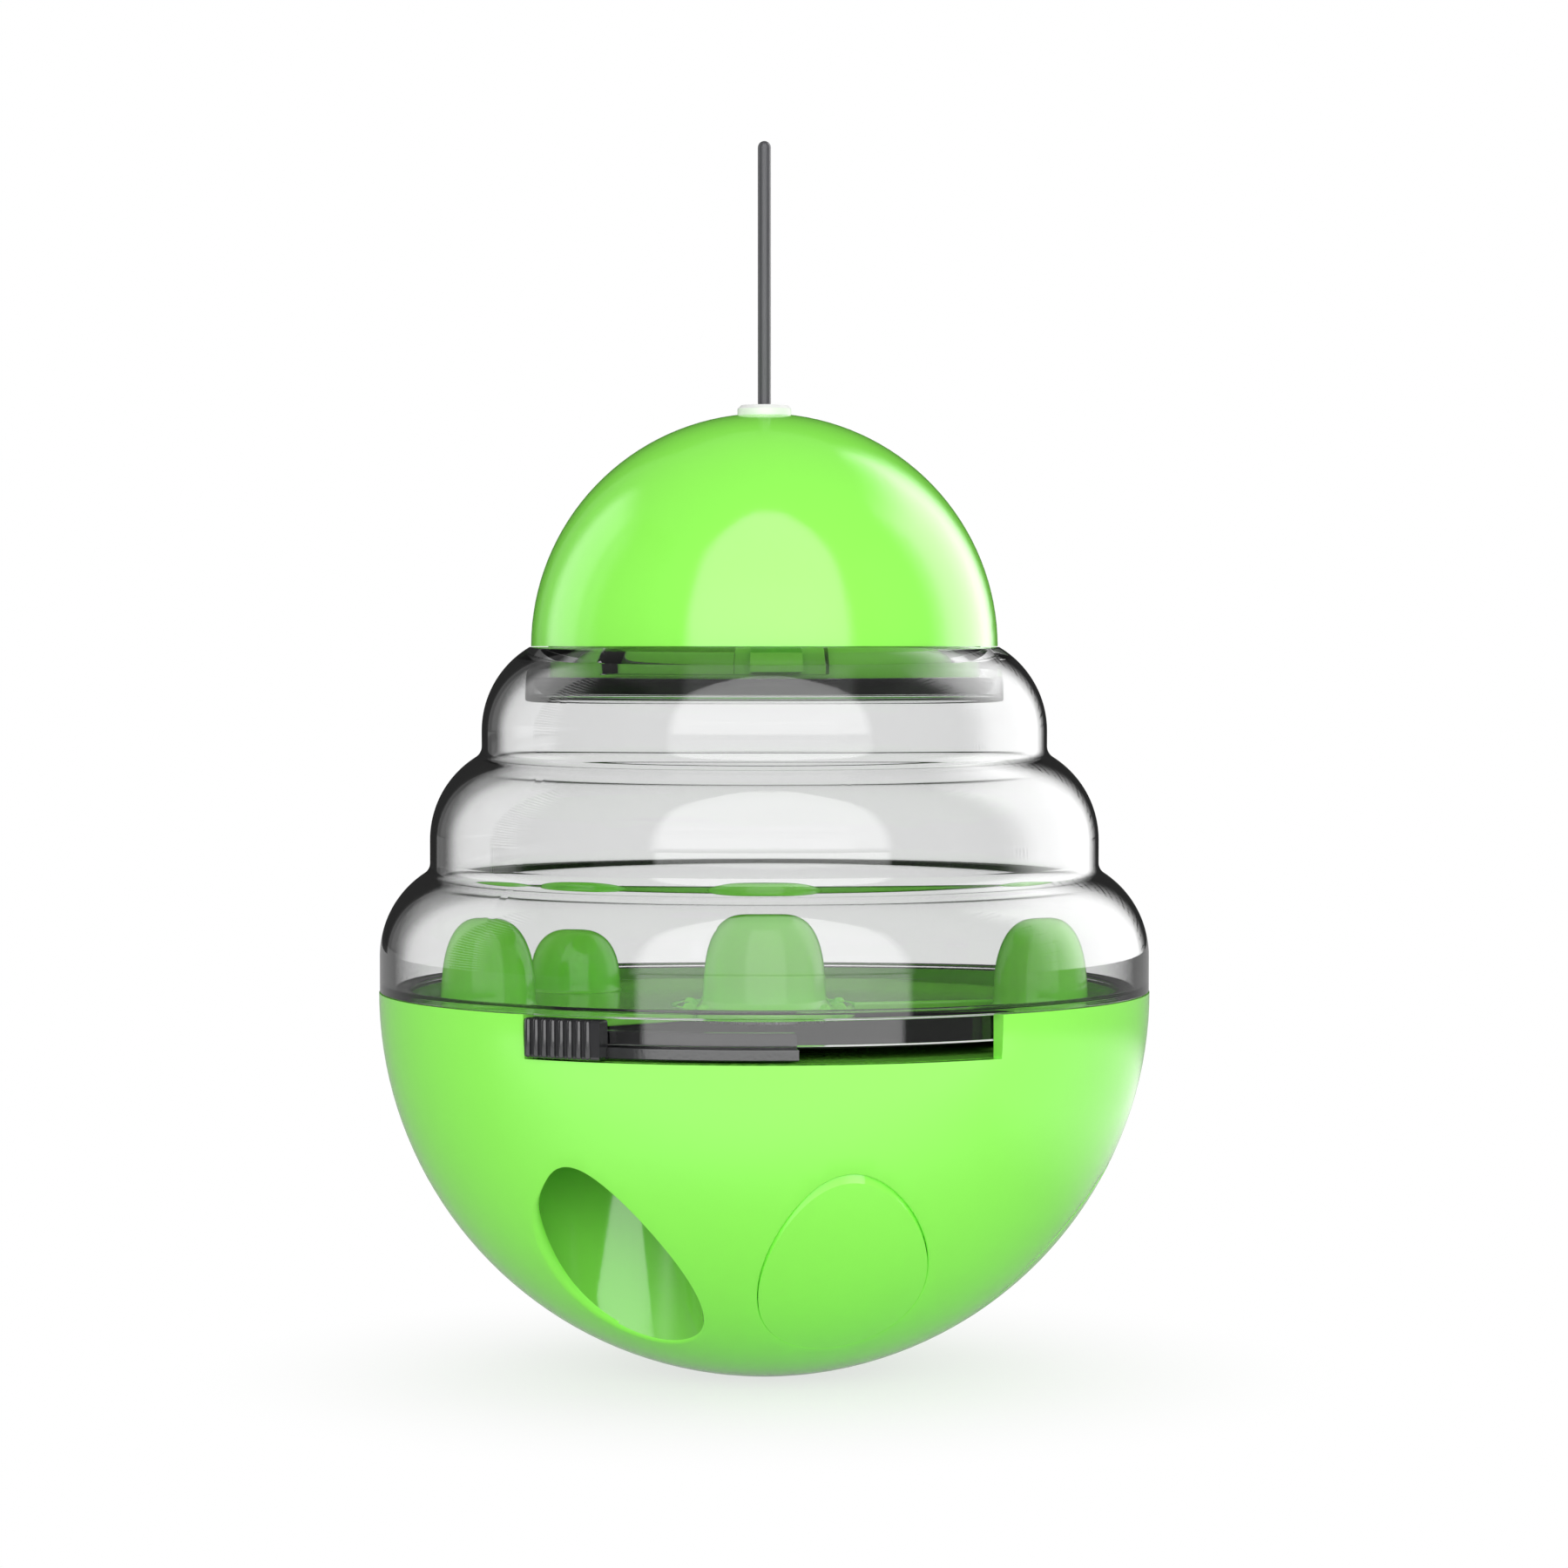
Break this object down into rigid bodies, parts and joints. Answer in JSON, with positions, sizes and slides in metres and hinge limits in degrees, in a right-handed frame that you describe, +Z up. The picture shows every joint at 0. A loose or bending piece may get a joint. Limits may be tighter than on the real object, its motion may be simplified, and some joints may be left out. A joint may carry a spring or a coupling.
{
  "type": "cat treat dispenser toy",
  "caption": "Self-righting rolling treat dispenser: weighted round bowl with a sliding gate and outlet, clear stepped hopper, domed twist cap and an upright wand.",
  "frame": {"origin": "middle of the small flat under the bowl, on the surface that the toy stands on", "axes": "+Z up through the wand; the front, with the gate's slider, faces -Y; +X to the right as seen from the front"},
  "size_m": [0.103, 0.1029, 0.1647],
  "materials": {
    "green_shell": "polished moulded plastic",
    "clear_hopper": "clear polished plastic",
    "gate_black": "satin moulded plastic",
    "seal_rubber": "matte",
    "grommet_white": "soft satin",
    "wand_grey": "satin",
    "weight_iron": "cast and plated",
    "screw_steel": "zinc plated"
  },
  "bodies": {
    "base": {"bowl": "green_shell", "port_plug_1": "green_shell", "port_plug_2": "green_shell", "port_plug_3": "green_shell", "port_plug_4": "green_shell", "counterweight": "weight_iron", "weight_washers": "screw_steel", "weight_screws": "screw_steel", "floor_plate": "green_shell", "floor_screws": "screw_steel", "gate_washer": "screw_steel", "deck": "green_shell", "hub_post": "green_shell", "hub_screw": "screw_steel"},
    "gate": {"gate_disc": "gate_black", "gate_slider": "gate_black"},
    "hopper_body": {"hopper": "clear_hopper"},
    "seal": {"neck_seal": "seal_rubber"},
    "cap_body": {"cap": "green_shell", "cap_collar": "green_shell", "collar_screws": "screw_steel", "wand_grommet": "grommet_white"},
    "wand_body": {"wand": "wand_grey"}
  },
  "joints": [
    {"name": "hopper_lift", "type": "slide", "parent": "base", "child": "hopper_body", "axis": [0, 0, 1], "range_m": [0, 0.06]},
    {"name": "gate_turn", "type": "hinge", "parent": "base", "child": "gate", "pos_m": [0, 0, 0.0467], "axis": [0, 0, 1], "range_deg": [0, 57.5]},
    {"name": "cap_turn", "type": "hinge", "parent": "hopper_body", "child": "seal", "pos_m": [0, 0, 0.0918], "axis": [0, 0, 1], "range_deg": [-28, 0]},
    {"name": "cap_lift", "type": "slide", "parent": "seal", "child": "cap_body", "axis": [0, 0, 1], "range_m": [0, 0.05]},
    {"name": "wand_pull", "type": "slide", "parent": "cap_body", "child": "wand_body", "axis": [0, 0, 1], "range_m": [0, 0.017]}
  ]
}
